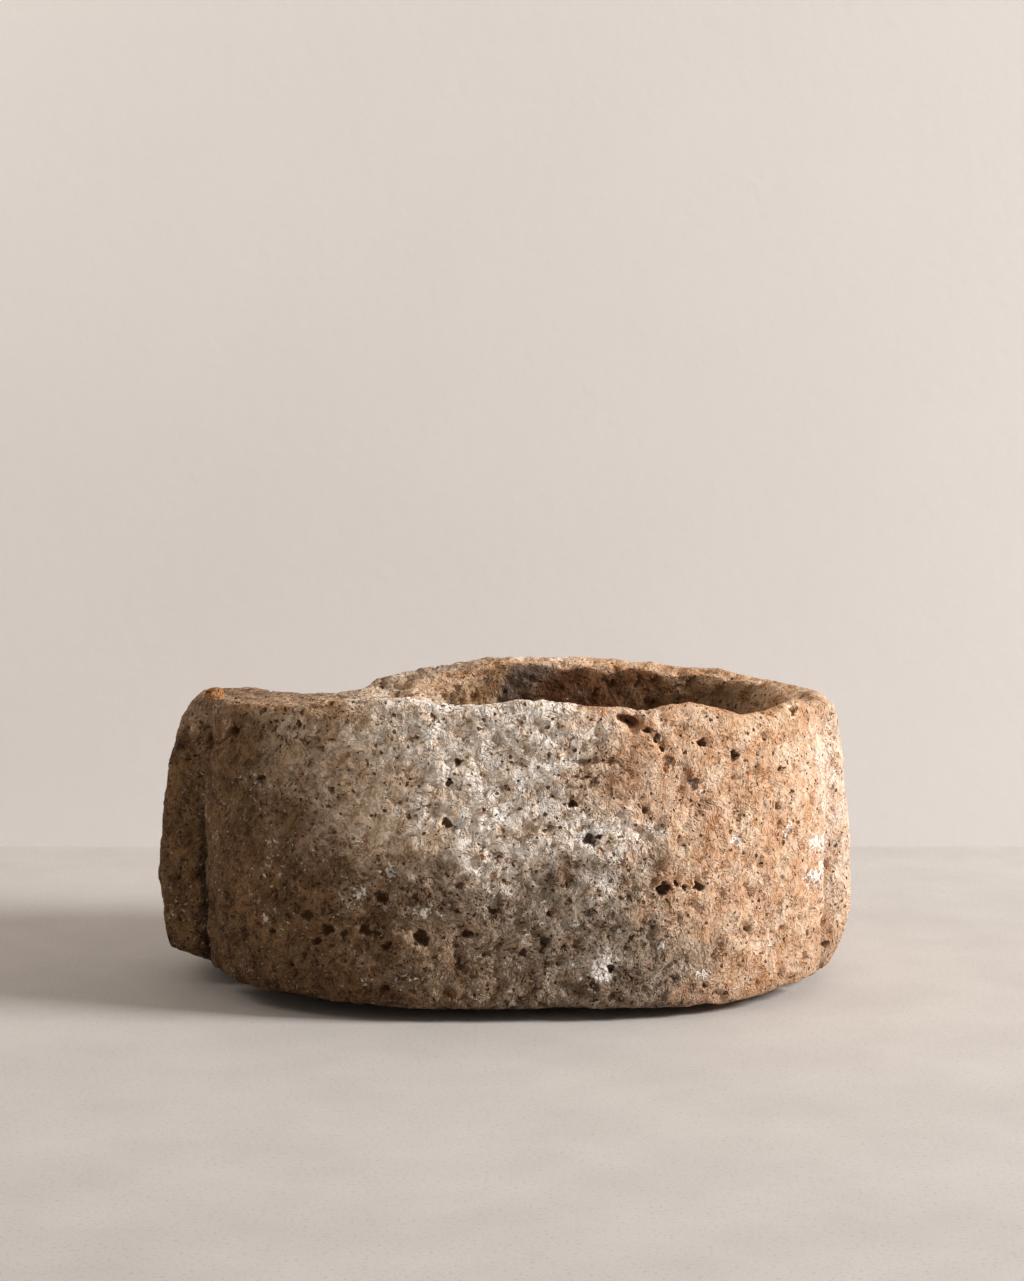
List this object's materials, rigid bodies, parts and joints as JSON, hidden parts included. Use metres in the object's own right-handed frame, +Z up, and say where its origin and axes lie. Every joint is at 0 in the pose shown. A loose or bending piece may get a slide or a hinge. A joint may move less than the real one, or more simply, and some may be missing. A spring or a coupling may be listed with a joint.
{
  "type": "stone vessel",
  "caption": "Low oblong vessel hewn from a block of porous shell limestone, with an off-centre basin, a broad ledge at the left end and a blunt lug on each end.",
  "frame": {"origin": "middle of the vessel's box, on the ground that its flat pad stands on", "axes": "+X along the length, towards the end with the thinner wall; +Y towards the back; +Z up"},
  "size_m": [0.5688, 0.3748, 0.2488],
  "materials": {
    "limestone": "weathered, rough and porous"
  },
  "bodies": {
    "root": {"stone_vessel": "limestone"}
  },
  "joints": []
}
